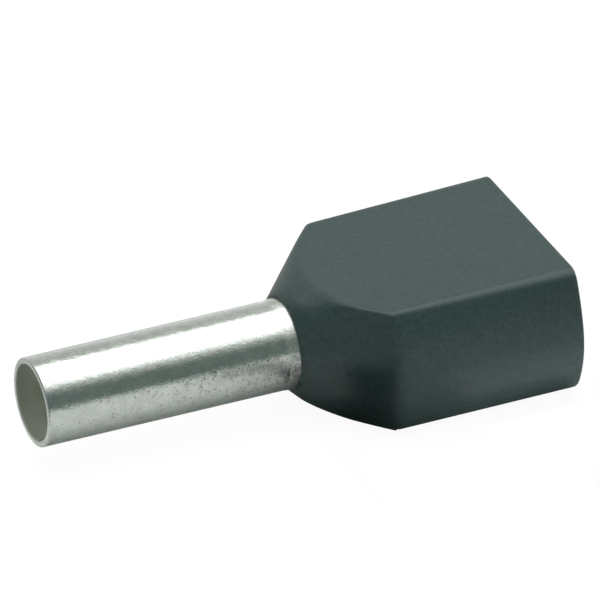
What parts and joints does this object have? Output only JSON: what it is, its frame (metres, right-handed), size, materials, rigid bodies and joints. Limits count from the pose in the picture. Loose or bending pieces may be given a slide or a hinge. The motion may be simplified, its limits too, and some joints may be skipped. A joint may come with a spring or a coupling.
{
  "type": "twin-entry wire end ferrule",
  "caption": "Twin-entry wire end ferrule: a thin tinned copper sleeve held in a pencil-pointed plastic collar with flats above and below and bowed sides.",
  "frame": {"origin": "on the sleeve's axis, at its bare tip", "axes": "+X along the bore from the tip to the wire entry, +Y across the collar, +Z square to the collar's flats"},
  "size_m": [0.016, 0.0076, 0.0042],
  "materials": {
    "tinned_copper": "dull bright tin with small dark specks and faint drawing lines",
    "collar_plastic": "satin black moulded plastic with a fine grain"
  },
  "bodies": {
    "root": {"sleeve": "tinned_copper", "collar": "collar_plastic"}
  },
  "joints": []
}
